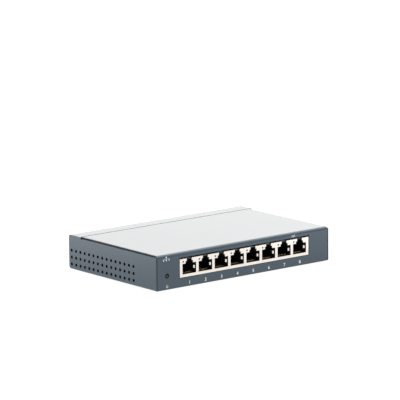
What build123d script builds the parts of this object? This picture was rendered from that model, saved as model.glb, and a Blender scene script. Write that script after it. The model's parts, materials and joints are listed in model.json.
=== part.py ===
from build123d import *
import math
import os

os.makedirs("parts", exist_ok=True)

# Eight-port desktop network switch, millimetres, +Z up.
# +X is the viewer's right when facing the sockets, +Y goes to the rear.
# Heights below are written from the underside of the steel case; everything is
# lifted by FOOT_H at export, so the origin is on the floor under the middle.

# ---- case ------------------------------------------------------------------
CASE_W = 158.0          # across the side panels
CASE_D = 101.0          # front face to rear face
CASE_H = 25.0           # underside to top face
T = 0.8                 # steel sheet
FOOT_H = 1.2
FOOT_R = 4.5
FOOT_X, FOOT_Y = 66.0, 38.0

X1 = CASE_W / 2
Y1 = CASE_D / 2
LAP = 0.1               # play between the cover and the side panels
CX = X1 - T - LAP       # outer half width of the cover
TRAY_Y0 = -Y1           # front edge of the tray sheet, flush with the front panel
SIDE_TOP = 23.85        # top edge of the side panels
SEAM_Y = 37.0           # seam across the top
SEAM_GAP = 0.9
R_REAR_TOP, R_REAR_BOT = 1.8, 2.6
R_SIDE_BOT = 1.2
R_SHEET = 0.45          # coated front edges of the side panels
R_FRONT_TOP, R_FRONT_BOT, R_FRONT_SIDE, R_TOP_SIDE = 2.2, 0.45, 0.35, 1.2
NOTCH_Y, NOTCH_W, NOTCH_D = 35.6, 1.5, 0.5
LIP_X = 77.3            # half width of the lip in front of the bottom sheet
FLANGE_DROP = 6.2       # cover side flanges
TONGUE = 7.0            # cover tongue under the rear strip
BOTTOM_FLANGE = 8.5

VENT_R, VENT_PITCH, VENT_COLS = 1.15, 5.15, 15
VENT_Y0 = 47.3
VENT_ROWS = (3.85, 8.85, 13.85)

KEY_X, KEY_Y, KEY_R, KEY_SLOT, KEY_LEN = 40.0, -4.0, 3.6, 3.8, 7.0
COVER_SCREW_X, COVER_SCREW_Y = 66.0, -46.0
EDGE_NOTCH_X = 69.2
LOCK_X, LOCK_Z = 60.0, 12.0

# ---- board -----------------------------------------------------------------
PCB_T = 1.6
PCB_Z1 = 6.9            # top face of the board
PCB_Z0 = PCB_Z1 - PCB_T
PCB_X, PCB_Y0, PCB_Y1 = 75.5, -48.2, 48.2
POST_XY = [(-70.0, -28.0), (70.0, -28.0), (-70.0, 29.0), (70.0, 29.0)]

# ---- row of eight sockets ---------------------------------------------------
PORTS = 8
PITCH = 14.43
ROW_X = 1.0
PORT_X = [ROW_X + (k - (PORTS - 1) / 2) * PITCH for k in range(PORTS)]
FACE_Y = -50.3
SH = 0.25               # shield sheet
BLK_X0, BLK_X1 = ROW_X - 58.9, ROW_X + 58.9
BLK_Y1 = -30.75
BLK_Z1 = 20.0
OPEN_X0, OPEN_X1, OPEN_Z0, OPEN_Z1 = -58.4, 60.4, 6.6, 21.1
SOCK_W, SOCK_Z0, SOCK_Z1 = 12.2, 8.9, 16.4
STEP1_W, STEP1_Z = 6.6, 18.1
STEP2_W, STEP2_Z = 4.6, 19.25
SOCK_Y1 = -36.3         # rear wall of a socket
LATCH_Y1 = -40.5
PIPE_DX, PIPE_Z, PIPE_R = -5.4, 17.9, 0.65
WIRE_PITCH, WIRE_W, WIRE_T = 1.02, 0.45, 0.25
HINGE_Y, HINGE_Z = -46.97, 9.62
WIRE_LEN, WIRE_TILT = 8.6, 11.0
RUN_Z0 = SOCK_Z0 + 0.02
TAIL_Y = -34.05

# ---- power indicator and inlet ----------------------------------------------
LED_X, LED_Z, LED_R, LED_HOLE = -69.5, 9.9, 1.5, 1.8
DC_X, DC_Z, DC_BORE, DC_PIN = -60.0, PCB_Z1 + 6.5, 3.15, 1.0
DC_NOSE = 4.4


def box(x0, x1, y0, y1, z0, z1):
    return Pos((x0 + x1) / 2, (y0 + y1) / 2, (z0 + z1) / 2) * Box(x1 - x0, y1 - y0, z1 - z0)


def cyl_z(x, y, z0, z1, r):
    return Pos(x, y, (z0 + z1) / 2) * Cylinder(r, z1 - z0)


def cyl_y(x, z, y0, y1, r):
    return Pos(x, (y0 + y1) / 2, z) * Rot(90, 0, 0) * Cylinder(r, y1 - y0)


def cyl_x(y, z, x0, x1, r):
    return Pos((x0 + x1) / 2, y, z) * Rot(0, 90, 0) * Cylinder(r, x1 - x0)


def edges_at(shape, axis, **at):
    """Straight edges parallel to axis whose middle lies at the given coordinates."""
    out = []
    for e in shape.edges().filter_by(axis):
        c = e.center()
        if all(abs(getattr(c, k.upper()) - v) < 1e-4 for k, v in at.items()):
            out.append(e)
    return out


def rounded(shape, picks):
    for axis, at, r in picks:
        shape = fillet(edges_at(shape, axis, **at), r)
    return shape


def write(name, *solids):
    lift = Pos(0, 0, FOOT_H)
    flat = []
    for s in solids:
        flat += list(s.solids())
    moved = [lift * s for s in flat]
    shape = moved[0] if len(moved) == 1 else Compound(children=moved)
    shape.label = name
    export_step(shape, "parts/" + name + ".step")


# ---- base tray: bottom, sides, back and the strip over the rear --------------
outer = box(-X1, X1, TRAY_Y0, Y1, 0, CASE_H)
outer = rounded(outer, [
    (Axis.X, dict(y=Y1, z=0), R_REAR_BOT),
    (Axis.X, dict(y=Y1, z=CASE_H), R_REAR_TOP),
])
bends = box(-X1, X1, TRAY_Y0 - 1, Y1 + 1, 0, CASE_H + 1)
bends = rounded(bends, [
    (Axis.Y, dict(x=-X1, z=0), R_SIDE_BOT),
    (Axis.Y, dict(x=X1, z=0), R_SIDE_BOT),
])
outer = outer & bends
outer = fillet(edges_at(outer, Axis.Z, x=-X1, y=TRAY_Y0) + edges_at(outer, Axis.Z, x=X1, y=TRAY_Y0), R_SHEET)
inner = box(-X1 + T, X1 - T, TRAY_Y0 - 5, Y1 - T, T, CASE_H - T)
inner = rounded(inner, [
    (Axis.X, dict(y=Y1 - T, z=T), R_REAR_BOT - T),
    (Axis.X, dict(y=Y1 - T, z=CASE_H - T), R_REAR_TOP - T),
])
bends = box(-X1 + T, X1 - T, TRAY_Y0 - 6, Y1 + 1, T, CASE_H + 1)
bends = rounded(bends, [
    (Axis.Y, dict(x=-X1 + T, z=T), R_SIDE_BOT - T),
    (Axis.Y, dict(x=X1 - T, z=T), R_SIDE_BOT - T),
])
inner = inner & bends
tray = outer - inner
tray -= box(-X1 - 1, X1 + 1, TRAY_Y0 - 1, NOTCH_Y, SIDE_TOP, CASE_H + 1)
tray -= box(-CX, CX, NOTCH_Y - 1, SEAM_Y + SEAM_GAP / 2, SIDE_TOP - 0.05, CASE_H + 1)
for s in (-1, 1):
    lo, hi = sorted((s * (X1 - T - 0.15), s * (X1 + 1)))
    tray -= box(lo, hi, NOTCH_Y - NOTCH_W / 2, NOTCH_Y + NOTCH_W / 2, SIDE_TOP - NOTCH_D, CASE_H + 1)
    lo, hi = sorted((s * CX, s * (X1 - T)))
    tray -= box(lo, hi, NOTCH_Y, Y1 - 2.4, SIDE_TOP - 0.1, CASE_H + 1)
    lo, hi = sorted((s * (X1 - T - 1), s * (X1 + 1)))
    holes = [cyl_x(VENT_Y0 - c * VENT_PITCH, z, lo, hi, VENT_R)
             for z in VENT_ROWS for c in range(VENT_COLS)]
    tray = tray.cut(*holes)
    # keyhole for wall screws: round entry, narrow slot towards the rear
    key = cyl_z(s * KEY_X, KEY_Y, -1, T + 1, KEY_R)
    key += box(s * KEY_X - KEY_SLOT / 2, s * KEY_X + KEY_SLOT / 2, KEY_Y, KEY_Y + KEY_LEN, -1, T + 1)
    key += cyl_z(s * KEY_X, KEY_Y + KEY_LEN, -1, T + 1, KEY_SLOT / 2)
    tray -= key
    tray -= Pos(s * COVER_SCREW_X, COVER_SCREW_Y, 0.5) * Cone(2.85 + 0.5, 2.85 - 1.5, 2.0)
for x, y in POST_XY:
    tray -= cyl_z(x, y, -1, T + 1, 2.15)
tray -= box(-LIP_X - LAP, LIP_X + LAP, TRAY_Y0 - 1, TRAY_Y0 + T + LAP, -1, T + 0.05)
tray -= cyl_y(DC_X, DC_Z, Y1 - T - 0.5, Y1 + 1, DC_NOSE + 0.3)
tray -= rounded(box(LOCK_X - 3.5, LOCK_X + 3.5, Y1 - T - 1, Y1 + 1, LOCK_Z - 1.5, LOCK_Z + 1.5), [
    (Axis.Y, dict(x=LOCK_X - 3.5, z=LOCK_Z - 1.5), 1.0),
    (Axis.Y, dict(x=LOCK_X + 3.5, z=LOCK_Z - 1.5), 1.0),
    (Axis.Y, dict(x=LOCK_X - 3.5, z=LOCK_Z + 1.5), 1.0),
    (Axis.Y, dict(x=LOCK_X + 3.5, z=LOCK_Z + 1.5), 1.0),
])
# rounded upper front corners of the side panels
corner = box(-X1 - 1, X1 + 1, TRAY_Y0 - 1, TRAY_Y0 + 1.2, SIDE_TOP - 1.2, SIDE_TOP + 1)
corner -= cyl_x(TRAY_Y0 + 1.2, SIDE_TOP - 1.2, -X1 - 2, X1 + 2, 1.2)
tray -= corner
write("base_tray", tray)

# ---- cover: front panel and top plate bent from one sheet --------------------
CZ0 = T + LAP
COVER_Y1 = SEAM_Y - SEAM_GAP / 2


def bent(inset, y1):
    """Solid bounded by the cover's outside, moved inwards by inset: three crossing profiles, each with its bends."""
    x, z0, z1, y0 = CX - inset, CZ0 + inset, CASE_H - inset, -Y1 + inset
    cut = lambda r: max(r - inset, 0.15)
    a = rounded(box(-x - 1, x + 1, y0, y1, z0, z1), [
        (Axis.X, dict(y=y0, z=z1), cut(R_FRONT_TOP)),
    ])
    b = rounded(box(-x, x, y0 - 1, y1 + 1, z0, z1), [
        (Axis.Y, dict(x=-x, z=z1), cut(R_TOP_SIDE)),
        (Axis.Y, dict(x=x, z=z1), cut(R_TOP_SIDE)),
        (Axis.Y, dict(x=-x, z=z0), cut(R_FRONT_BOT)),
        (Axis.Y, dict(x=x, z=z0), cut(R_FRONT_BOT)),
    ])
    c = rounded(box(-x, x, y0, y1 + 1, z0 - 1, z1 + 1), [
        (Axis.Z, dict(x=-x, y=y0), cut(R_FRONT_SIDE)),
        (Axis.Z, dict(x=x, y=y0), cut(R_FRONT_SIDE)),
    ])
    return a & b & c


shell = bent(0.0, COVER_Y1)
hollow = bent(T, COVER_Y1 + 5)
cover = shell - hollow
# lip that carries the front panel down over the edge of the bottom sheet, with one small nick
cover += rounded(box(-LIP_X, LIP_X, -Y1, -Y1 + T, 0, CZ0 + 0.3), [(Axis.X, dict(y=-Y1, z=0), R_FRONT_BOT)])
cover -= box(EDGE_NOTCH_X - 0.8, EDGE_NOTCH_X + 0.8, -Y1 - 1, -Y1 + T + 0.05, -1, 0.5)
cover -= box(-CX - 1, CX + 1, -Y1 + BOTTOM_FLANGE, COVER_Y1 + 1, CZ0 - 1, CASE_H - FLANGE_DROP)
cover -= box(-CX - 1, CX + 1, -Y1 + BOTTOM_FLANGE - 2.0, COVER_Y1 + 1, CZ0 + T + 0.2, CASE_H - FLANGE_DROP)
cover -= box(OPEN_X0, OPEN_X1, -Y1 - 1, -Y1 + T + 1, OPEN_Z0, OPEN_Z1)
cover -= cyl_y(LED_X, LED_Z, -Y1 - 1, -Y1 + T + 1, LED_HOLE)
# joggled tongue that slips under the rear strip
cover += box(-CX + 2, CX - 2, COVER_Y1 - T, COVER_Y1, CASE_H - 2 * T - LAP, CASE_H - T)
cover += box(-CX + 2, CX - 2, COVER_Y1 - T, COVER_Y1 + TONGUE, CASE_H - 2 * T - LAP, CASE_H - T - LAP)
for s in (-1, 1):
    cover += cyl_z(s * COVER_SCREW_X, COVER_SCREW_Y, CZ0 + T, 3.7, 2.3)
    cover -= cyl_z(s * COVER_SCREW_X, COVER_SCREW_Y, CZ0 - 1, 4.7, 1.45)
    cover -= Pos(s * COVER_SCREW_X, COVER_SCREW_Y, 0.5) * Cone(2.85 + 0.5, 2.85 - 1.5, 2.0)
write("top_cover", cover)

# ---- cover screws: countersunk M3, from below ----------------------------------
screws = []
for s in (-1, 1):
    sc = Pos(s * COVER_SCREW_X, COVER_SCREW_Y, 0.05 + 0.65) * Cone(2.7, 1.4, 1.3)
    sc += cyl_z(s * COVER_SCREW_X, COVER_SCREW_Y, 1.2, 4.8, 1.4)
    sc = chamfer(sc.edges().filter_by(GeomType.CIRCLE).sort_by(Axis.Z)[-1], 0.35)
    for a in (0, 90):
        sc -= Pos(s * COVER_SCREW_X, COVER_SCREW_Y, 0.4) * Rot(0, 0, a) * Box(3.0, 0.55, 1.0)
    screws.append(sc)
write("cover_screws", *screws)

# ---- stick-on feet ---------------------------------------------------------------
feet = []
for sx in (-1, 1):
    for sy in (-1, 1):
        f = cyl_z(sx * FOOT_X, sy * FOOT_Y, -FOOT_H, 0, FOOT_R)
        f = fillet(f.edges().filter_by(GeomType.CIRCLE).sort_by(Axis.Z)[0], 0.35)
        feet.append(f)
write("rubber_feet", *feet)

# ---- blank rating plate on the underside ---------------------------------------------
plate = box(-28, 28, 14, 42, -0.12, 0)
plate = fillet(plate.edges().filter_by(Axis.Z), 1.5)
write("rating_label", plate)

# ---- board posts and board screws ---------------------------------------------------
posts, bolts = [], []
for x, y in POST_XY:
    p = Pos(x, y, (T + PCB_Z0) / 2) * extrude(RegularPolygon(5.5 / 2, 6, major_radius=False), (PCB_Z0 - T) / 2, both=True)
    p += cyl_z(x, y, 0.05, T, 2.1)
    p -= cyl_z(x, y, -1, PCB_Z0 + 1, 1.45)
    posts.append(p)
    b = cyl_z(x, y, PCB_Z1, PCB_Z1 + 1.9, 2.8)
    b = fillet(b.edges().filter_by(GeomType.CIRCLE).sort_by(Axis.Z)[-1], 1.0)
    b += cyl_z(x, y, 2.6, PCB_Z1, 1.4)
    for a in (0, 90):
        b -= Pos(x, y, PCB_Z1 + 1.6) * Rot(0, 0, a) * Box(3.0, 0.6, 1.2)
    bolts.append(b)
write("board_posts", *posts)
write("board_screws", *bolts)

# ---- circuit board -------------------------------------------------------------------
pcb = box(-PCB_X, PCB_X, PCB_Y0, PCB_Y1, PCB_Z0, PCB_Z1)
pcb = fillet(pcb.edges().filter_by(Axis.Z), 1.5)
drills = [cyl_z(x, y, PCB_Z0 - 1, PCB_Z1 + 1, 1.65) for x, y in POST_XY]
for cx in PORT_X:
    for i in range(8):
        drills.append(cyl_z(cx + (i - 3.5) * WIRE_PITCH, TAIL_Y - 0.125, PCB_Z0 - 1, PCB_Z1 + 1, 0.36))
PEGS = [(PORT_X[0] - 4.4, -41.0), (PORT_X[2] + 7.2, -41.0), (PORT_X[5] - 7.2, -41.0), (PORT_X[7] + 4.4, -41.0)]
for x, y in PEGS:
    drills.append(cyl_z(x, y, PCB_Z0 - 1, PCB_Z1 + 1, 1.6))
for x in (LED_X - 1.27, LED_X + 1.27):
    drills.append(cyl_z(x, -43.4, PCB_Z0 - 1, PCB_Z1 + 1, 0.45))
SHIELD_TABS = [(BLK_X0 + SH / 2, -44.0), (BLK_X0 + SH / 2, -34.0), (BLK_X1 - SH / 2, -44.0), (BLK_X1 - SH / 2, -34.0)]
for x, y in SHIELD_TABS:
    drills.append(cyl_z(x, y, PCB_Z0 - 1, PCB_Z1 + 1, 0.85))
DC_TABS = [(DC_X, 35.2, 2.6, 0.5), (DC_X, 41.2, 2.6, 0.5), (DC_X + 5.0, 38.2, 0.5, 2.6)]
for x, y, a, b in DC_TABS:
    drills.append(box(x - a / 2 - 0.15, x + a / 2 + 0.15, y - b / 2 - 0.15, y + b / 2 + 0.15, PCB_Z0 - 1, PCB_Z1 + 1))
CAPS = [(-67.0, 20.0, 4.0, 11.0), (-26.0, 20.0, 3.15, 8.0), (-26.0, 33.0, 3.15, 8.0)]
for x, y, r, h in CAPS:
    for dx in (-1.25, 1.25):
        drills.append(cyl_z(x + dx, y, PCB_Z0 - 1, PCB_Z1 + 1, 0.4))
pcb = pcb.cut(*drills)
write("circuit_board", pcb)

# ---- socket block: black moulding -------------------------------------------------------
H_X0, H_X1 = BLK_X0 + SH, BLK_X1 - SH
H_Y0, H_Y1 = FACE_Y + SH, BLK_Y1 - SH
H_Z1 = BLK_Z1 - SH
housing = box(H_X0, H_X1, H_Y0, H_Y1, PCB_Z1, H_Z1)
FINGER_Z = 12.75
FINGER_W = 2.0
cuts = []
for cx in PORT_X:
    cuts.append(box(cx - SOCK_W / 2, cx + SOCK_W / 2, H_Y0 - 1, SOCK_Y1, SOCK_Z0, SOCK_Z1))
    cuts.append(box(cx - STEP1_W / 2, cx + STEP1_W / 2, H_Y0 - 1, LATCH_Y1, SOCK_Z1 - 0.1, STEP1_Z))
    cuts.append(box(cx - STEP2_W / 2, cx + STEP2_W / 2, H_Y0 - 1, LATCH_Y1, STEP1_Z - 0.1, STEP2_Z))
    # window at the rear for the wire carrier
    cuts.append(box(cx - 5.3, cx + 5.3, SOCK_Y1 - 0.01, H_Y1 + 1, PCB_Z1 - 1, 12.1))
    # relief for the grounding fingers
    for s in (-1, 1):
        lo, hi = sorted((cx + s * (SOCK_W / 2 - 0.1), cx + s * (SOCK_W / 2 + 0.55)))
        cuts.append(box(lo, hi, H_Y0 - 1, -45.2, FINGER_Z - FINGER_W / 2 - 0.25, FINGER_Z + FINGER_W / 2 + 0.25))
    cuts.append(cyl_y(cx + PIPE_DX, PIPE_Z, H_Y0 - 1, H_Y1 + 1, PIPE_R + 0.08))
    # lightening pocket behind the latch recess, open to the rear
    cuts.append(box(cx - 2.4, cx + 3.6, LATCH_Y1 + 1.6, H_Y1 + 1, 13.4, 18.0))
housing = housing.cut(*cuts)
for x, y in PEGS:
    housing += cyl_z(x, y, PCB_Z0 - 0.6, PCB_Z1, 1.5)
write("socket_housing", housing)

# ---- socket block: plated shield with one stepped opening per socket --------------------
shield = box(BLK_X0, BLK_X1, FACE_Y, BLK_Y1, PCB_Z1, BLK_Z1)
shield = fillet(edges_at(shield, Axis.X, y=FACE_Y, z=BLK_Z1), 0.22)
shield -= box(H_X0, H_X1, H_Y0, H_Y1, PCB_Z1 - 1, H_Z1)
cuts = []
for cx in PORT_X:
    y0, y1 = FACE_Y - 1, H_Y0 + 0.02
    cuts.append(box(cx - SOCK_W / 2, cx + SOCK_W / 2, y0, y1, SOCK_Z0, SOCK_Z1))
    cuts.append(box(cx - STEP1_W / 2, cx + STEP1_W / 2, y0, y1, SOCK_Z1 - 0.1, STEP1_Z))
    cuts.append(box(cx - STEP2_W / 2, cx + STEP2_W / 2, y0, y1, STEP1_Z - 0.1, BLK_Z1 + 1))
    cuts.append(box(cx - STEP2_W / 2, cx + STEP2_W / 2, y0, FACE_Y + 1.3, H_Z1 - 0.02, BLK_Z1 + 1))
    cuts.append(cyl_y(cx + PIPE_DX, PIPE_Z, y0, y1, PIPE_R + 0.05))
    cuts.append(cyl_y(cx + PIPE_DX, PIPE_Z, H_Y1 - 1, BLK_Y1 + 1, PIPE_R + 0.12))
    cuts.append(box(cx - 5.6, cx + 5.6, H_Y1 - 0.02, BLK_Y1 + 1, PCB_Z1 - 1, 12.4))
shield = shield.cut(*cuts)
for cx in PORT_X:
    for s in (-1, 1):
        # grounding finger: folded in at the face, bowed towards the plug, then back out
        e = cx + s * SOCK_W / 2
        pts = [(e + s * 0.03, FACE_Y), (e + s * 0.05, FACE_Y + 1.6),
               (e - s * 0.7, FACE_Y + 2.4), (e - s * 0.7, FACE_Y + 2.75), (e + s * 0.3, -45.7),
               (e + s * 0.5, -45.78), (e - s * 0.46, FACE_Y + 2.72), (e - s * 0.46, FACE_Y + 2.46),
               (e + s * 0.27, FACE_Y + 1.7), (e + s * 0.23, FACE_Y)]
        fing = extrude(make_face(Polyline([(x, y) for x, y in pts] + [pts[0]])), FINGER_W)
        shield += Pos(0, 0, FINGER_Z - FINGER_W / 2) * fing
for x, y in SHIELD_TABS:
    shield += box(x - SH / 2, x + SH / 2, y - 0.6, y + 0.6, PCB_Z0 - 0.9, PCB_Z1)
write("socket_shield", shield)

# ---- per socket: rear carrier, fixed part of the wires, springing part of the wires --------
carriers, tails = [], []
for k, cx in enumerate(PORT_X):
    c = box(cx - 5.2, cx + 5.2, SOCK_Y1 + 0.05, H_Y1 - 0.2, PCB_Z1, 12.0)
    c -= box(cx - 4.2, cx + 4.2, SOCK_Y1 - 1, TAIL_Y + 0.03, PCB_Z1 - 1, RUN_Z0 + WIRE_T + 0.05)
    c -= box(cx - 4.4, cx + 4.4, SOCK_Y1 + 2.9, H_Y1 + 1, 10.6, 13)
    comb = [box(cx + (i - 3.5) * WIRE_PITCH - 0.3, cx + (i - 3.5) * WIRE_PITCH + 0.3, SOCK_Y1 - 1, SOCK_Y1 + 0.6,
                9.5, 13) for i in range(8)]
    c = c.cut(*comb)
    carriers.append(c)
    springs = []
    for i in range(8):
        wx = cx + (i - 3.5) * WIRE_PITCH
        run = box(wx - WIRE_W / 2, wx + WIRE_W / 2, HINGE_Y - 0.08, TAIL_Y, RUN_Z0, RUN_Z0 + WIRE_T)
        run += box(wx - WIRE_W / 2, wx + WIRE_W / 2, TAIL_Y - WIRE_T, TAIL_Y, PCB_Z0 - 1.0, RUN_Z0 + WIRE_T)
        mid = (RUN_Z0 + HINGE_Z + WIRE_T / 2) / 2
        ro = (HINGE_Z + WIRE_T / 2 - RUN_Z0) / 2
        bend = cyl_x(HINGE_Y - 0.08, mid, wx - WIRE_W / 2, wx + WIRE_W / 2, ro)
        bend -= cyl_x(HINGE_Y - 0.08, mid, wx - 1, wx + 1, ro - WIRE_T)
        bend -= box(wx - 1, wx + 1, HINGE_Y - 0.08, HINGE_Y + 2, RUN_Z0 - 1, HINGE_Z + 1)
        tails.append(run + bend)
        w = Box(WIRE_W, WIRE_LEN, WIRE_T)
        w = fillet(w.edges().filter_by(Axis.X).sort_by(Axis.Y)[-2:], 0.1)
        w = Pos(wx, HINGE_Y, HINGE_Z) * Rot(WIRE_TILT, 0, 0) * Pos(0, WIRE_LEN / 2, 0) * w
        springs.append(w)
    write("contact_springs_%d" % (k + 1), *springs)
write("wire_carriers", *carriers)
write("contact_tails", *tails)

# ---- light pipes and their lamps -------------------------------------------------------------
pipes, lamps = [], []
PIPE_END_Y = -28.9
for cx in PORT_X:
    x = cx + PIPE_DX
    p = cyl_y(x, PIPE_Z, FACE_Y + 0.02, PIPE_END_Y, PIPE_R)
    p += Sphere(PIPE_R).moved(Location((x, PIPE_END_Y, PIPE_Z)))
    p += cyl_z(x, PIPE_END_Y, PCB_Z1 + 0.75, PIPE_Z, PIPE_R)
    pipes.append(p)
    lamps.append(box(x - 0.8, x + 0.8, PIPE_END_Y - 0.4, PIPE_END_Y + 0.4, PCB_Z1, PCB_Z1 + 0.7))
write("port_light_pipes", *pipes)
write("port_lamps", *lamps)

# ---- power lamp, its leads and its holder --------------------------------------------------------
lamp = cyl_y(LED_X, LED_Z, -49.1, -45.4, LED_R)
lamp += Sphere(LED_R).moved(Location((LED_X, -49.1, LED_Z)))
lamp += cyl_y(LED_X, LED_Z, -45.9, -44.9, 1.75)
write("power_lamp", lamp)
holder = box(LED_X - 2.4, LED_X + 2.4, -48.0, -44.0, PCB_Z1, LED_Z + 2.6)
holder = chamfer(holder.edges().filter_by(Axis.Y).sort_by(Axis.Z)[-2:], 0.5)
holder -= cyl_y(LED_X, LED_Z, -49, -45.9, LED_R + 0.1)
holder -= cyl_y(LED_X, LED_Z, -46.05, -43, 1.85)
holder -= box(LED_X - 1.85, LED_X + 1.85, -44.85, -43, PCB_Z1 - 1, LED_Z)
write("lamp_holder", holder)
leads = []
for s in (-1, 1):
    x = LED_X + s * 1.27
    l = box(x - 0.25, x + 0.25, -44.9, -43.15, LED_Z - 0.25, LED_Z + 0.25)
    l += box(x - 0.25, x + 0.25, -43.65, -43.15, PCB_Z0 - 1.0, LED_Z + 0.25)
    leads.append(l)
write("power_lamp_leads", *leads)

# ---- power inlet -------------------------------------------------------------------------------------
inlet = box(DC_X - 4.5, DC_X + 4.5, 34.6, 49.4, PCB_Z1, PCB_Z1 + 11.0)
inlet = fillet(inlet.edges().filter_by(Axis.Y).sort_by(Axis.Z)[-2:], 1.5)
inlet += cyl_y(DC_X, DC_Z, 49.3, 50.35, DC_NOSE)
inlet = chamfer(inlet.edges().filter_by(GeomType.CIRCLE).sort_by(Axis.Y)[-1], 0.3)
inlet -= cyl_y(DC_X, DC_Z, 38.4, 51, DC_BORE)
inlet -= cyl_y(DC_X, DC_Z, 36, 39, 0.8)
# pocket that the leaf contact lives in, open to the bore and to the board
inlet -= box(DC_X - 1.35, DC_X + 1.35, 39.4, 47.6, PCB_Z1 - 1, DC_Z - 2.0)
inlet -= box(DC_X - 1.6, DC_X + 1.6, 34.0, 36.2, PCB_Z1 - 1, DC_Z + 1.6)
inlet -= box(DC_X + 3.9, DC_X + 4.7, 36.6, 39.8, PCB_Z1 - 1, PCB_Z1 + 8.0)
write("inlet_housing", inlet)
pin = cyl_y(DC_X, DC_Z, 38.4, 49.0, DC_PIN)
pin += Sphere(DC_PIN).moved(Location((DC_X, 49.0, DC_Z)))
pin += cyl_y(DC_X, DC_Z, 35.9, 38.4, 0.75)
write("inlet_pin", pin)
strips = [
    box(DC_X - 1.3, DC_X + 1.3, 34.95, 35.45, PCB_Z0 - 1.2, DC_Z + 1.3) + cyl_y(DC_X, DC_Z, 35.4, 35.9, 0.75),
    box(DC_X - 1.3, DC_X + 1.3, 40.95, 41.45, PCB_Z0 - 1.2, PCB_Z1 + 1.72),
    box(DC_X + 4.75, DC_X + 5.25, 36.9, 39.5, PCB_Z0 - 1.2, PCB_Z1 + 7.6)
    + box(DC_X + 4.1, DC_X + 5.25, 36.9, 39.5, PCB_Z1 + 7.1, PCB_Z1 + 7.6),
]
write("inlet_terminals", *strips)
# leaf contact: springs away from the plug about its root
LEAF_Y, LEAF_Z = 41.2, PCB_Z1 + 2.0
leaf = Box(2.0, 5.6, 0.3)
leaf = Pos(0, 2.8, 0) * fillet(leaf.edges().filter_by(Axis.X).sort_by(Axis.Y)[-2:], 0.12)
leaf = Pos(DC_X, LEAF_Y, LEAF_Z) * Rot(20, 0, 0) * leaf
write("inlet_leaf", leaf)

# ---- switch chip, pad and heatsink ------------------------------------------------------------------------
CHIP_X, CHIP_Y, CHIP = 6.0, 12.0, 20.0
chip = box(CHIP_X - CHIP / 2, CHIP_X + CHIP / 2, CHIP_Y - CHIP / 2, CHIP_Y + CHIP / 2, PCB_Z1 + 0.12, PCB_Z1 + 1.5)
chip = chamfer(chip.edges().filter_by(Axis.Z), 0.6)
write("switch_chip", chip)
legs = []
for i in range(24):
    o = (i - 11.5) * 0.78
    for s in (-1, 1):
        lo, hi = sorted((CHIP_X + s * CHIP / 2, CHIP_X + s * (CHIP / 2 + 0.5)))
        lo2, hi2 = sorted((CHIP_X + s * (CHIP / 2 + 0.3), CHIP_X + s * (CHIP / 2 + 1.1)))
        legs.append(box(lo, hi, CHIP_Y + o - 0.15, CHIP_Y + o + 0.15, PCB_Z1 + 0.7, PCB_Z1 + 0.85)
                    + box(sorted((CHIP_X + s * (CHIP / 2 + 0.35), CHIP_X + s * (CHIP / 2 + 0.5)))[0],
                          sorted((CHIP_X + s * (CHIP / 2 + 0.35), CHIP_X + s * (CHIP / 2 + 0.5)))[1],
                          CHIP_Y + o - 0.15, CHIP_Y + o + 0.15, PCB_Z1, PCB_Z1 + 0.85)
                    + box(lo2, hi2, CHIP_Y + o - 0.15, CHIP_Y + o + 0.15, PCB_Z1, PCB_Z1 + 0.15))
        lo, hi = sorted((CHIP_Y + s * CHIP / 2, CHIP_Y + s * (CHIP / 2 + 0.5)))
        lo2, hi2 = sorted((CHIP_Y + s * (CHIP / 2 + 0.3), CHIP_Y + s * (CHIP / 2 + 1.1)))
        a, b = sorted((CHIP_Y + s * (CHIP / 2 + 0.35), CHIP_Y + s * (CHIP / 2 + 0.5)))
        legs.append(box(CHIP_X + o - 0.15, CHIP_X + o + 0.15, lo, hi, PCB_Z1 + 0.7, PCB_Z1 + 0.85)
                    + box(CHIP_X + o - 0.15, CHIP_X + o + 0.15, a, b, PCB_Z1, PCB_Z1 + 0.85)
                    + box(CHIP_X + o - 0.15, CHIP_X + o + 0.15, lo2, hi2, PCB_Z1, PCB_Z1 + 0.15))
write("switch_chip_leads", *legs)
write("thermal_pad", box(CHIP_X - 9, CHIP_X + 9, CHIP_Y - 9, CHIP_Y + 9, PCB_Z1 + 1.5, PCB_Z1 + 2.0))
SINK = 25.0
sink = box(CHIP_X - SINK / 2, CHIP_X + SINK / 2, CHIP_Y - SINK / 2, CHIP_Y + SINK / 2, PCB_Z1 + 2.0, PCB_Z1 + 4.2)
for i in range(9):
    x = CHIP_X + (i - 4) * (SINK - 1.0) / 8
    fin = box(x - 0.5, x + 0.5, CHIP_Y - SINK / 2, CHIP_Y + SINK / 2, PCB_Z1 + 4.1, PCB_Z1 + 12.0)
    sink += fin
write("heatsink", sink)

# ---- isolation transformers, two sockets each ----------------------------------------------------------------
blocks, pins = [], []
for j in range(4):
    cx = ROW_X + (j - 1.5) * 2 * PITCH
    y0, y1 = -25.5, -12.5
    b = box(cx - 13.0, cx + 13.0, y0, y1, PCB_Z1 + 0.25, PCB_Z1 + 6.2)
    b = chamfer(b.edges().filter_by(Axis.X).sort_by(Axis.Z)[-2:], 0.5)
    blocks.append(b)
    for i in range(24):
        o = cx + (i - 11.5) * 1.0
        for y, s in ((y0, -1), (y1, 1)):
            a, c = sorted((y, y + s * 1.4))
            e, f = sorted((y, y + s * 0.25))
            pins.append(box(o - 0.2, o + 0.2, a, c, PCB_Z1, PCB_Z1 + 0.25) + box(o - 0.2, o + 0.2, e, f, PCB_Z1, PCB_Z1 + 1.2))
write("transformers", *blocks)
write("transformer_leads", *pins)

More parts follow.
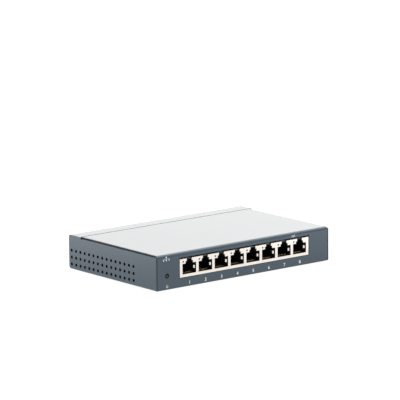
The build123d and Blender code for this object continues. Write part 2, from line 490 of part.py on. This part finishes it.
# ---- power conversion and small parts --------------------------------------------------------------------------
coils, cores = [], []
for x, y in ((-38.0, 16.0), (-38.0, 31.0)):
    c = box(x - 3.6, x + 3.6, y - 3.6, y + 3.6, PCB_Z1, PCB_Z1 + 3.4)
    c = chamfer(c.edges().filter_by(Axis.Z), 1.2)
    c -= cyl_z(x, y, PCB_Z1 + 2.6, PCB_Z1 + 4, 2.6)
    coils.append(c)
    cores.append(cyl_z(x, y, PCB_Z1 + 2.6, PCB_Z1 + 3.3, 1.7))
write("power_inductors", *coils)
write("inductor_cores", *cores)


def small_outline(x, y):
    """Eight-lead package as a body with its leads."""
    b = box(x - 2.0, x + 2.0, y - 2.5, y + 2.5, PCB_Z1 + 0.15, PCB_Z1 + 1.6)
    b = chamfer(b.edges().filter_by(Axis.Y).sort_by(Axis.Z)[-1], 0.35)
    for i in range(4):
        o = y + (i - 1.5) * 1.27
        for s in (-1, 1):
            a, c = sorted((x + s * 1.99, x + s * 3.0))
            e, f = sorted((x + s * 1.99, x + s * 2.3))
            b += box(a, c, o - 0.2, o + 0.2, PCB_Z1, PCB_Z1 + 0.2) + box(e, f, o - 0.2, o + 0.2, PCB_Z1, PCB_Z1 + 0.9)
    return b


write("buck_regulators", small_outline(-49.0, 16.0), small_outline(-49.0, 31.0))
write("settings_memory", small_outline(30.0, 26.0))
can = box(-5.6, 5.6, -2.3, 2.3, 0, 3.5)
can = fillet(can.edges().filter_by(Axis.Z), 2.2)
can = fillet(can.edges().sort_by(Axis.Z)[-1:], 0.4)
write("clock_crystal", Pos(33.0, 8.0, PCB_Z1) * Rot(0, 0, 90) * can)
drums, sleeves = [], []
for x, y, r, h in CAPS:
    d = cyl_z(x, y, PCB_Z1 + 0.1, PCB_Z1 + h, r)
    d = fillet(d.edges().filter_by(GeomType.CIRCLE).sort_by(Axis.Z)[-1], 0.5)
    for a in (0, 90):
        d -= Pos(x, y, PCB_Z1 + h) * Rot(0, 0, a) * Box(r * 1.1, 0.25, 0.4)
    for dx in (-1.25, 1.25):
        d += cyl_z(x + dx, y, PCB_Z0 - 0.9, PCB_Z1 + 0.2, 0.3)
    drums.append(d)
write("bulk_capacitors", *drums)
write("input_diode", box(-49.6, -45.0, 40.2, 43.8, PCB_Z1 + 0.1, PCB_Z1 + 2.3)
      + box(-50.4, -44.2, 41.1, 42.9, PCB_Z1, PCB_Z1 + 1.2))
write("input_fuse", box(-40.0, -35.5, 40.4, 43.6, PCB_Z1, PCB_Z1 + 1.1))
disc = Pos(66.0, -17.0, PCB_Z1 + 6.0) * Rot(90, 0, 0) * Cylinder(4.5, 3.2)
disc = fillet(disc.edges().filter_by(GeomType.CIRCLE), 1.0)
disc += box(62.9, 63.5, -17.3, -16.7, PCB_Z1, PCB_Z1 + 3.6) + box(68.5, 69.1, -17.3, -16.7, PCB_Z1, PCB_Z1 + 3.6)
write("chassis_capacitor", disc)
res, cer = [], []
for k, cx in enumerate(PORT_X):
    for i in range(4):
        res.append(box(cx - 4.2 + i * 2.6, cx - 3.4 + i * 2.6, -8.6, -7.0, PCB_Z1, PCB_Z1 + 0.45))
for i in range(10):
    a = 2 * math.pi * i / 10 + 0.2
    x, y = CHIP_X + 18.0 * math.cos(a), CHIP_Y + 16.5 * math.sin(a)
    cer.append(box(x - 0.8, x + 0.8, y - 0.4, y + 0.4, PCB_Z1, PCB_Z1 + 0.8))
for x, y in ((-32.0, 10.0), (-32.0, 38.0), (-44.0, 10.0), (-44.0, 25.0), (-55.0, 24.0), (27.0, 8.0), (39.0, 8.0), (30.0, 32.0)):
    cer.append(box(x - 0.8, x + 0.8, y - 0.4, y + 0.4, PCB_Z1, PCB_Z1 + 0.8))
write("chip_resistors", *res)
write("chip_capacitors", *cer)
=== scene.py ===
import json
import math

import bmesh
import bpy
from mathutils import Matrix, Vector


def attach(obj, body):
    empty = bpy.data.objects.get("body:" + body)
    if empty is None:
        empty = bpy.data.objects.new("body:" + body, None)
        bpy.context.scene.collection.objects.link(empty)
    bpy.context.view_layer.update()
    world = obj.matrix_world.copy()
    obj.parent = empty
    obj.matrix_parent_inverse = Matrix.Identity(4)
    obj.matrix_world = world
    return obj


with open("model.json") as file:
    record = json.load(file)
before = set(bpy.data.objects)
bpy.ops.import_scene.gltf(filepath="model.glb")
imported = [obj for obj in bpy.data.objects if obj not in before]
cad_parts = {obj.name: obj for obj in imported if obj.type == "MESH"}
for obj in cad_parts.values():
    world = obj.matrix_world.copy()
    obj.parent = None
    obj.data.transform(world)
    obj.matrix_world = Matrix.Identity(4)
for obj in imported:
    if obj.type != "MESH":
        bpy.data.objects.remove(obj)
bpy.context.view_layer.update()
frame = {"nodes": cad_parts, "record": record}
N = frame["nodes"]
scene = bpy.context.scene
LIFT = 0.0012          # the case stands this far above the floor, on its feet
FRONT_Y = -0.0505
ROW_X, PITCH = 0.001, 0.01443
PORT_X = [ROW_X + (k - 3.5) * PITCH for k in range(8)]

# ---------------------------------------------------------------- materials


def new_mat(name):
    m = bpy.data.materials.new(name)
    m.use_nodes = True
    nt = m.node_tree
    bsdf = nt.nodes["Principled BSDF"]
    return m, nt, bsdf


def put(bsdf, **vals):
    names = {
        "metallic": "Metallic", "rough": "Roughness", "ior": "IOR", "spec": "Specular IOR Level",
        "coat": "Coat Weight", "coat_rough": "Coat Roughness", "trans": "Transmission Weight",
        "aniso": "Anisotropic", "sheen": "Sheen Weight", "sheen_rough": "Sheen Roughness", "subs": "Subsurface Weight",
    }
    for k, v in vals.items():
        bsdf.inputs[names[k]].default_value = v


def coords(nt, scale=1.0):
    tc = nt.nodes.new("ShaderNodeTexCoord")
    mp = nt.nodes.new("ShaderNodeMapping")
    if not isinstance(scale, (tuple, list)):
        scale = (scale, scale, scale)
    mp.inputs["Scale"].default_value = scale
    nt.links.new(tc.outputs["Object"], mp.inputs["Vector"])
    return mp.outputs["Vector"]


def noise(nt, vec, scale, detail=3.0, rough=0.5):
    n = nt.nodes.new("ShaderNodeTexNoise")
    n.inputs["Scale"].default_value = scale
    n.inputs["Detail"].default_value = detail
    n.inputs["Roughness"].default_value = rough
    nt.links.new(vec, n.inputs["Vector"])
    return n


def ramp(nt, fac, stops):
    r = nt.nodes.new("ShaderNodeValToRGB")
    els = r.color_ramp.elements
    while len(els) < len(stops):
        els.new(0.5)
    for e, (p, c) in zip(els, stops):
        e.position = p
        e.color = (*c, 1.0)
    nt.links.new(fac, r.inputs["Fac"])
    return r


def spread(nt, fac, lo, hi):
    m = nt.nodes.new("ShaderNodeMapRange")
    m.inputs["From Min"].default_value = 0.25
    m.inputs["From Max"].default_value = 0.75
    m.inputs["To Min"].default_value = lo
    m.inputs["To Max"].default_value = hi
    nt.links.new(fac, m.inputs["Value"])
    return m.outputs["Result"]


def bump(nt, bsdf, height, strength, distance):
    b = nt.nodes.new("ShaderNodeBump")
    b.inputs["Strength"].default_value = strength
    b.inputs["Distance"].default_value = distance
    nt.links.new(height, b.inputs["Height"])
    nt.links.new(b.outputs["Normal"], bsdf.inputs["Normal"])
    return b


def shade(c, k):
    return tuple(min(1.0, v * k) for v in c)


def grained(name, colour, rough, metallic=0.0, vary=0.12, scale=900.0, rough_vary=0.06, bump_strength=0.15,
            bump_distance=0.00002, stretch=(1, 1, 1), big=60.0, **extra):
    """A finish with large soft variation in colour, fine grain in roughness and height."""
    m, nt, bsdf = new_mat(name)
    vec = coords(nt, stretch)
    fine = noise(nt, vec, scale, 4.0, 0.6)
    broad = noise(nt, vec, big, 2.0, 0.5)
    mix = nt.nodes.new("ShaderNodeMath")
    mix.operation = "MULTIPLY_ADD"
    nt.links.new(fine.outputs["Fac"], mix.inputs[0])
    mix.inputs[1].default_value = 0.45
    sub = nt.nodes.new("ShaderNodeMath")
    sub.operation = "MULTIPLY"
    nt.links.new(broad.outputs["Fac"], sub.inputs[0])
    sub.inputs[1].default_value = 0.55
    nt.links.new(sub.outputs[0], mix.inputs[2])
    r = ramp(nt, mix.outputs[0], [(0.3, shade(colour, 1 - vary)), (0.7, shade(colour, 1 + vary))])
    nt.links.new(r.outputs["Color"], bsdf.inputs["Base Color"])
    nt.links.new(spread(nt, fine.outputs["Fac"], max(0.02, rough - rough_vary), rough + rough_vary), bsdf.inputs["Roughness"])
    bump(nt, bsdf, fine.outputs["Fac"], bump_strength, bump_distance)
    put(bsdf, metallic=metallic, **extra)
    return m


PAINT = (0.023, 0.052, 0.080)


def case_paint():
    """Fine-textured dark slate powder coat: pebbled height, a satin skin of low coat weight, and painted shade on the
    vent walls and along the seams.
    """
    m, nt, bsdf = new_mat("case_paint")
    vec = coords(nt)
    pebble = nt.nodes.new("ShaderNodeTexVoronoi")
    pebble.inputs["Scale"].default_value = 2600.0
    nt.links.new(vec, pebble.inputs["Vector"])
    fine = noise(nt, vec, 3200.0, 3.0, 0.55)
    broad = noise(nt, vec, 22.0, 2.0, 0.5)
    add = nt.nodes.new("ShaderNodeMath")
    add.operation = "ADD"
    nt.links.new(pebble.outputs["Distance"], add.inputs[0])
    nt.links.new(fine.outputs["Fac"], add.inputs[1])
    r = ramp(nt, broad.outputs["Fac"], [(0.3, shade(PAINT, 0.92)), (0.7, shade(PAINT, 1.08))])
    fleck = ramp(nt, fine.outputs["Fac"], [(0.35, (0.93, 0.93, 0.93)), (0.65, (1.07, 1.07, 1.07))])
    mul = nt.nodes.new("ShaderNodeMix")
    mul.data_type = "RGBA"
    mul.blend_type = "MULTIPLY"
    mul.inputs["Factor"].default_value = 1.0
    nt.links.new(r.outputs["Color"], mul.inputs[6])
    nt.links.new(fleck.outputs["Color"], mul.inputs[7])
    # painted shade: the base colour is pulled to near-black on the vent hole walls and the inner faces of the vented
    # walls, and in bands along the seams where the cover meets the side panels and down both front edges; less
    # specular and no coat there
    tc = nt.nodes.new("ShaderNodeTexCoord")
    sep = nt.nodes.new("ShaderNodeSeparateXYZ")
    nt.links.new(tc.outputs["Object"], sep.inputs[0])
    wide = nt.nodes.new("ShaderNodeMath")
    wide.operation = "ABSOLUTE"
    nt.links.new(sep.outputs["X"], wide.inputs[0])

    def step(op, a, b):
        n = nt.nodes.new("ShaderNodeMath")
        n.operation = op
        for i, v in enumerate((a, b)):
            if isinstance(v, (int, float)):
                n.inputs[i].default_value = v
            else:
                nt.links.new(v, n.inputs[i])
        return n.outputs[0]

    def region(x0, x1, y0, y1, z0, z1):
        """1 inside a box given by |x|, y and z, metres."""
        out = None
        for value, lo, hi in ((wide.outputs[0], x0, x1), (sep.outputs["Y"], y0, y1), (sep.outputs["Z"], z0 + LIFT, z1 + LIFT)):
            m = step("MULTIPLY", step("GREATER_THAN", value, lo), step("LESS_THAN", value, hi))
            out = m if out is None else step("MULTIPLY", out, m)
        return out

    vent_wall_shade = region(0.0, 0.07893, -0.0262, 0.0487, 0.0020, 0.0157)
    top_seam_shade = region(0.0768, 0.07895, -0.0489, 0.0364, 0.0237, 0.02472)
    front_edge_shade = region(0.07785, 0.07865, -0.0512, -0.04995, 0.0010, 0.0240)
    painted_shade = step("MAXIMUM", vent_wall_shade, step("MAXIMUM", step("MULTIPLY", top_seam_shade, 0.8), step("MULTIPLY", front_edge_shade, 0.45)))
    # painted shade: mix the base colour toward near-black inside the shade masks
    shade_mix = nt.nodes.new("ShaderNodeMix")
    shade_mix.data_type = "RGBA"
    nt.links.new(painted_shade, shade_mix.inputs["Factor"])
    nt.links.new(mul.outputs[2], shade_mix.inputs[6])
    shade_mix.inputs[7].default_value = (0.004, 0.005, 0.006, 1.0)
    nt.links.new(shade_mix.outputs[2], bsdf.inputs["Base Color"])
    shine = nt.nodes.new("ShaderNodeMapRange")
    shine.inputs["To Min"].default_value = 0.5
    shine.inputs["To Max"].default_value = 0.12
    nt.links.new(painted_shade, shine.inputs["Value"])
    nt.links.new(shine.outputs["Result"], bsdf.inputs["Specular IOR Level"])
    skin = nt.nodes.new("ShaderNodeMapRange")
    skin.inputs["To Min"].default_value = 0.25
    skin.inputs["To Max"].default_value = 0.0
    nt.links.new(painted_shade, skin.inputs["Value"])
    nt.links.new(skin.outputs["Result"], bsdf.inputs["Coat Weight"])
    nt.links.new(spread(nt, fine.outputs["Fac"], 0.30, 0.38), bsdf.inputs["Roughness"])
    bump(nt, bsdf, add.outputs[0], 0.10, 0.00001)
    put(bsdf, ior=1.55, coat_rough=0.22)
    return m


def glassy(name, colour, rough, trans, ior=1.5):
    m, nt, bsdf = new_mat(name)
    vec = coords(nt)
    n = noise(nt, vec, 700.0, 2.0, 0.5)
    r = ramp(nt, n.outputs["Fac"], [(0.3, shade(colour, 0.9)), (0.7, shade(colour, 1.1))])
    nt.links.new(r.outputs["Color"], bsdf.inputs["Base Color"])
    nt.links.new(spread(nt, n.outputs["Fac"], rough * 0.8, rough * 1.2), bsdf.inputs["Roughness"])
    put(bsdf, ior=ior, trans=trans)
    return m


M = {
    "case_paint": case_paint(),
    "zinc_screw": grained("zinc_screw", (0.62, 0.62, 0.60), 0.32, 1.0, scale=2500.0),
    "foot_rubber": grained("foot_rubber", (0.018, 0.018, 0.019), 0.75, scale=2500.0, bump_strength=0.35),
    "label_stock": grained("label_stock", (0.70, 0.70, 0.68), 0.42, vary=0.03, scale=1500.0, bump_strength=0.05),
    "nickel_post": grained("nickel_post", (0.62, 0.59, 0.54), 0.28, 1.0, scale=2200.0),
    "board_laminate": grained("board_laminate", (0.012, 0.085, 0.035), 0.30, vary=0.25, scale=1200.0, coat=0.4, coat_rough=0.15),
    "socket_black": grained("socket_black", (0.010, 0.010, 0.011), 0.42, scale=2500.0, bump_strength=0.25),
    "tin_plate": grained("tin_plate", (0.76, 0.72, 0.67), 0.24, 1.0, vary=0.04, scale=1800.0, rough_vary=0.07,
                         bump_strength=0.08, stretch=(1, 1, 6)),
    "gold_wire": grained("gold_wire", (0.50, 0.35, 0.19), 0.36, 1.0, scale=2500.0, bump_strength=0.06),
    "pipe_clear": glassy("pipe_clear", (0.10, 0.11, 0.10), 0.14, 0.30),
    "lamp_body": grained("lamp_body", (0.75, 0.70, 0.48), 0.3, scale=2000.0),
    "lamp_green": glassy("lamp_green", (0.012, 0.060, 0.034), 0.10, 0.25),
    "holder_black": grained("holder_black", (0.014, 0.014, 0.014), 0.5, scale=2500.0),
    "tin_lead": grained("tin_lead", (0.74, 0.73, 0.70), 0.3, 1.0, scale=2500.0),
    "inlet_black": grained("inlet_black", (0.012, 0.012, 0.013), 0.38, scale=2200.0, bump_strength=0.25),
    "spring_bronze": grained("spring_bronze", (0.70, 0.56, 0.36), 0.28, 1.0, scale=2500.0),
    "chip_epoxy": grained("chip_epoxy", (0.016, 0.016, 0.018), 0.55, scale=2500.0, bump_strength=0.3),
    "pad_grey": grained("pad_grey", (0.30, 0.36, 0.42), 0.7, scale=1500.0),
    "sink_aluminium": grained("sink_aluminium", (0.05, 0.05, 0.055), 0.38, 0.8, scale=1500.0, stretch=(8, 1, 1)),
    "transformer_black": grained("transformer_black", (0.014, 0.014, 0.014), 0.5, scale=2200.0, bump_strength=0.25),
    "ferrite": grained("ferrite", (0.05, 0.05, 0.055), 0.6, scale=2200.0, bump_strength=0.3),
    "crystal_can": grained("crystal_can", (0.72, 0.72, 0.70), 0.22, 1.0, scale=1800.0),
    "capacitor_can": grained("capacitor_can", (0.014, 0.014, 0.020), 0.32, scale=1500.0, stretch=(1, 1, 6)),
    "fuse_green": grained("fuse_green", (0.03, 0.22, 0.08), 0.4, scale=2000.0),
    "disc_blue": grained("disc_blue", (0.02, 0.09, 0.30), 0.32, scale=1200.0, coat=0.5, coat_rough=0.1),
    "resistor_body": grained("resistor_body", (0.02, 0.02, 0.022), 0.35, scale=2500.0),
    "ceramic_body": grained("ceramic_body", (0.34, 0.22, 0.11), 0.45, scale=2500.0),
    "print_ink": grained("print_ink", (0.78, 0.80, 0.81), 0.5, vary=0.05, scale=3500.0, bump_strength=0.1),
}

for sub in frame["record"]["subparts"]:
    obj = N[sub["node"]]
    obj.data.materials.clear()
    obj.data.materials.append(M[sub["material_slot"]])

# ------------------------------------------------------- printing on the front


def mesh_piece(name, bm, mat, body="case"):
    me = bpy.data.meshes.new(name)
    bm.normal_update()
    bm.to_mesh(me)
    bm.free()
    o = bpy.data.objects.new(name, me)
    scene.collection.objects.link(o)
    me.materials.append(mat)
    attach(o, body)
    return o


def on_front(x, z):
    """A point on the painted front, a hair proud of it."""
    return Vector((x, FRONT_Y - 0.00002, z + LIFT))


def ribbon(bm, pts, width, closed=False, depth=0.00003):
    """A raised line of ink of the given width along points (x, z) on the front."""
    n = len(pts)
    left, right = [], []
    for i, (x, z) in enumerate(pts):
        a = pts[(i - 1) % n] if (i or closed) else pts[i]
        b = pts[(i + 1) % n] if (i < n - 1 or closed) else pts[i]
        d = Vector((b[0] - a[0], b[1] - a[1]))
        d.normalize()
        nx, nz = -d.y * width / 2, d.x * width / 2
        left.append((x + nx, z + nz))
        right.append((x - nx, z - nz))
    rings = []
    for (lx, lz), (rx, rz) in zip(left, right):
        rings.append([bm.verts.new(v) for v in (
            (lx, FRONT_Y + 0.00002, lz + LIFT), (lx, FRONT_Y - depth, lz + LIFT),
            (rx, FRONT_Y - depth, rz + LIFT), (rx, FRONT_Y + 0.00002, rz + LIFT))])
    last = n if closed else n - 1
    for i in range(last):
        a, b = rings[i], rings[(i + 1) % n]
        for j in range(4):
            bm.faces.new((a[j], a[(j + 1) % 4], b[(j + 1) % 4], b[j]))
    if not closed:
        bm.faces.new(rings[0])
        bm.faces.new(list(reversed(rings[-1])))
    bmesh.ops.recalc_face_normals(bm, faces=bm.faces)


def arc(cx, cz, r, a0, a1, n=24):
    return [(cx + r * math.cos(math.radians(a0 + (a1 - a0) * i / n)),
             cz + r * math.sin(math.radians(a0 + (a1 - a0) * i / n))) for i in range(n + 1)]


def blob(bm, x, z, r, n=24):
    """A small filled disc of ink."""
    front = [bm.verts.new((x + r * math.cos(2 * math.pi * i / n), FRONT_Y - 0.00003,
                           z + LIFT + r * math.sin(2 * math.pi * i / n))) for i in range(n)]
    back = [bm.verts.new((v.co.x, FRONT_Y + 0.00002, v.co.z)) for v in front]
    bm.faces.new(front)
    bm.faces.new(list(reversed(back)))
    for i in range(n):
        bm.faces.new((front[i], back[i], back[(i + 1) % n], front[(i + 1) % n]))
    bmesh.ops.recalc_face_normals(bm, faces=bm.faces)


def digit(k, x, z, height):
    cu = bpy.data.curves.new("socket_number_%d" % k, "FONT")
    cu.body = str(k)
    cu.size = height / 0.70
    cu.align_x = "CENTER"
    cu.extrude = 0.00003
    cu.offset = height * 0.045
    o = bpy.data.objects.new("socket_number_%d" % k, cu)
    scene.collection.objects.link(o)
    bpy.context.view_layer.update()
    me = bpy.data.meshes.new_from_object(o.evaluated_get(bpy.context.evaluated_depsgraph_get()))
    bpy.data.objects.remove(o)
    me.transform(Matrix.Translation((x, FRONT_Y, z + LIFT)) @ Matrix.Rotation(math.radians(90), 4, "X"))
    me.name = "socket_number_%d" % k
    p = bpy.data.objects.new("socket_number_%d" % k, me)
    scene.collection.objects.link(p)
    me.materials.clear()
    me.materials.append(M["print_ink"])
    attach(p, "case")
    return p


for k, cx in enumerate(PORT_X):
    digit(k + 1, cx, 0.00175, 0.0021)

# generic power sign under the lamp
bm = bmesh.new()
ribbon(bm, arc(-0.0695, 0.0024, 0.0008, 125, 415), 0.00028)
ribbon(bm, [(-0.0695, 0.0026), (-0.0695, 0.0036)], 0.00028)
mesh_piece("power_sign", bm, M["print_ink"])

# generic data-lamp sign above the row: two opposed arrows
bm = bmesh.new()
for dz, s in ((0.0004, 1), (-0.0004, -1)):
    cx, cz = 0.0455, 0.0224 + dz
    ribbon(bm, [(cx - s * 0.0017, cz), (cx + s * 0.0017, cz)], 0.00026)
    ribbon(bm, [(cx + s * 0.0009, cz + s * 0.0006), (cx + s * 0.0017, cz)], 0.00026)
mesh_piece("data_sign", bm, M["print_ink"])

# generic network sign in the top left corner of the front
bm = bmesh.new()
hub = (-0.0700, 0.0222)
for dx in (-0.0024, 0.0, 0.0024):
    ribbon(bm, [(hub[0] + dx, hub[1] - 0.0002), (hub[0] + dx, hub[1] - 0.0009)], 0.00022)
    blob(bm, hub[0] + dx, hub[1] - 0.0012, 0.00048)
ribbon(bm, [(hub[0] - 0.00251, hub[1] - 0.0002), (hub[0] + 0.00251, hub[1] - 0.0002)], 0.00022)
ribbon(bm, [(hub[0], hub[1] - 0.0002), (hub[0], hub[1] + 0.0006)], 0.00022)
blob(bm, hub[0], hub[1] + 0.0010, 0.00060)
mesh_piece("network_sign", bm, M["print_ink"])

# -------------------------------------------------------------- floor and light
bm = bmesh.new()
S = 9.0
bm.faces.new([bm.verts.new(v) for v in ((-S, -S, 0), (S, -S, 0), (S, S, 0), (-S, S, 0))])
me = bpy.data.meshes.new("floor")
bm.to_mesh(me)
bm.free()
floor = bpy.data.objects.new("floor", me)
scene.collection.objects.link(floor)
fm, nt, bsdf = new_mat("studio_floor")
bsdf.inputs["Base Color"].default_value = (0.14, 0.14, 0.14, 1)
put(bsdf, rough=0.9, spec=0.0)
bsdf.inputs["Emission Color"].default_value = (1, 1, 1, 1)
# painted light: the floor glows at strength 0.97 everywhere, plus two brighter glowing pools (up to +1.9 front right,
# +2.4 rear left of the case)
ftc = nt.nodes.new("ShaderNodeTexCoord")
total = None
for centre, reach, gain in (((0.36, -0.22, 0.0), 0.33, 1.9), ((-0.33, 0.19, 0.0), 0.30, 2.4)):
    far = nt.nodes.new("ShaderNodeVectorMath")
    far.operation = "DISTANCE"
    nt.links.new(ftc.outputs["Object"], far.inputs[0])
    far.inputs[1].default_value = centre
    fall = nt.nodes.new("ShaderNodeMapRange")
    fall.interpolation_type = "SMOOTHSTEP"
    fall.inputs["From Min"].default_value = 0.0
    fall.inputs["From Max"].default_value = reach
    fall.inputs["To Min"].default_value = gain
    fall.inputs["To Max"].default_value = 0.0
    nt.links.new(far.outputs["Value"], fall.inputs["Value"])
    add = nt.nodes.new("ShaderNodeMath")
    add.operation = "ADD"
    nt.links.new(fall.outputs["Result"], add.inputs[0])
    if total is None:
        add.inputs[1].default_value = 0.97
    else:
        nt.links.new(total, add.inputs[1])
    total = add.outputs[0]
nt.links.new(total, bsdf.inputs["Emission Strength"])
me.materials.append(fm)

world = bpy.data.worlds.new("studio")
scene.world = world
world.use_nodes = True
wt = world.node_tree
bg = wt.nodes["Background"]
tc = wt.nodes.new("ShaderNodeTexCoord")
sep = wt.nodes.new("ShaderNodeSeparateXYZ")
wt.links.new(tc.outputs["Generated"], sep.inputs[0])


def wmath(op, a, b=None):
    m = wt.nodes.new("ShaderNodeMath")
    m.operation = op
    for i, v in enumerate((a, b)):
        if v is None:
            continue
        if isinstance(v, (int, float)):
            m.inputs[i].default_value = v
        else:
            wt.links.new(v, m.inputs[i])
    return m.outputs[0]


# Soft wrap of light, brightest low behind the case and to its right, darkest
# in front on the left: three rings round the horizon and a broad top light.
PEAK = 4.0
turn = wmath("ARCTAN2", sep.outputs["X"], sep.outputs["Y"])
around = wmath("ADD", wmath("DIVIDE", turn, 2 * math.pi), 0.5)
height = wmath("ARCSINE", sep.outputs["Z"])


def tent(middle, below, above):
    """1 at the middle elevation, falling to 0 below and above it (degrees)."""
    d = wmath("SUBTRACT", height, math.radians(middle))
    up_side = wmath("SUBTRACT", 1.0, wmath("DIVIDE", wmath("MAXIMUM", d, 0.0), math.radians(above)))
    low_side = wmath("ADD", 1.0, wmath("DIVIDE", wmath("MINIMUM", d, 0.0), math.radians(below)))
    return wmath("MAXIMUM", wmath("MINIMUM", up_side, low_side), 0.0)


def ring(values):
    """Brightness round the horizon from the front by the left, rear and right back to the front."""
    r = wt.nodes.new("ShaderNodeValToRGB")
    els = r.color_ramp.elements
    last = len(values) - 1
    els[0].position, els[1].position = 0.0, 1.0
    for i, v in enumerate(values):
        e = els[0] if i == 0 else els[len(els) - 1] if i == last else els.new(i / last)
        e.color = (v / PEAK, v / PEAK, v / PEAK, 1.0)
    wt.links.new(around, r.inputs["Fac"])
    return wmath("MULTIPLY", r.outputs["Color"], PEAK)


low = wmath("MULTIPLY", ring((0.0, 0.0, 0.85, 1.00, 2.35, 2.85, 1.90, 0.40, 0.0)), tent(5, 40, 17))
mid = wmath("MULTIPLY", ring((0.0, 0.0, 0.73, 0.55, 1.65, 2.80, 2.10, 0.74, 0.0)), tent(22, 17, 18))
high = wmath("MULTIPLY", ring((0.0, 0.05, 0.64, 0.51, 0.91, 2.79, 2.64, 1.15, 0.0)), tent(40, 18, 25))
crown = wmath("MULTIPLY", tent(65, 25, 60), 3.1)
strength = wmath("ADD", wmath("ADD", low, mid), wmath("ADD", high, crown))
wt.links.new(strength, bg.inputs["Strength"])
bg.inputs["Color"].default_value = (1.02, 0.99, 0.955, 1)

# ------------------------------------------------------------------------ camera
az, el, roll = math.radians(-38.745), math.radians(11.163), math.radians(-0.499)
TX, TY, DIST = -0.317e-3, -46.233e-3, 2.3643
back = Vector((math.sin(az) * math.cos(el), -math.cos(az) * math.cos(el), math.sin(el)))
right = Vector((math.cos(az), math.sin(az), 0.0))
up = back.cross(right)
right2 = right * math.cos(roll) + up * math.sin(roll)
up2 = up * math.cos(roll) - right * math.sin(roll)
cam = bpy.data.cameras.new("camera")
cam.lens, cam.sensor_width = 296.03, 36.0
cam.clip_start, cam.clip_end = 0.05, 60.0
cam_obj = bpy.data.objects.new("camera", cam)
scene.collection.objects.link(cam_obj)
where = back * DIST - right2 * TX - up2 * TY + Vector((0, 0, LIFT))
cam_obj.matrix_world = Matrix((
    (right2.x, up2.x, back.x, where.x),
    (right2.y, up2.y, back.y, where.y),
    (right2.z, up2.z, back.z, where.z),
    (0, 0, 0, 1)))
scene.camera = cam_obj
scene.view_settings.view_transform = "Standard"
scene.view_settings.look = "None"
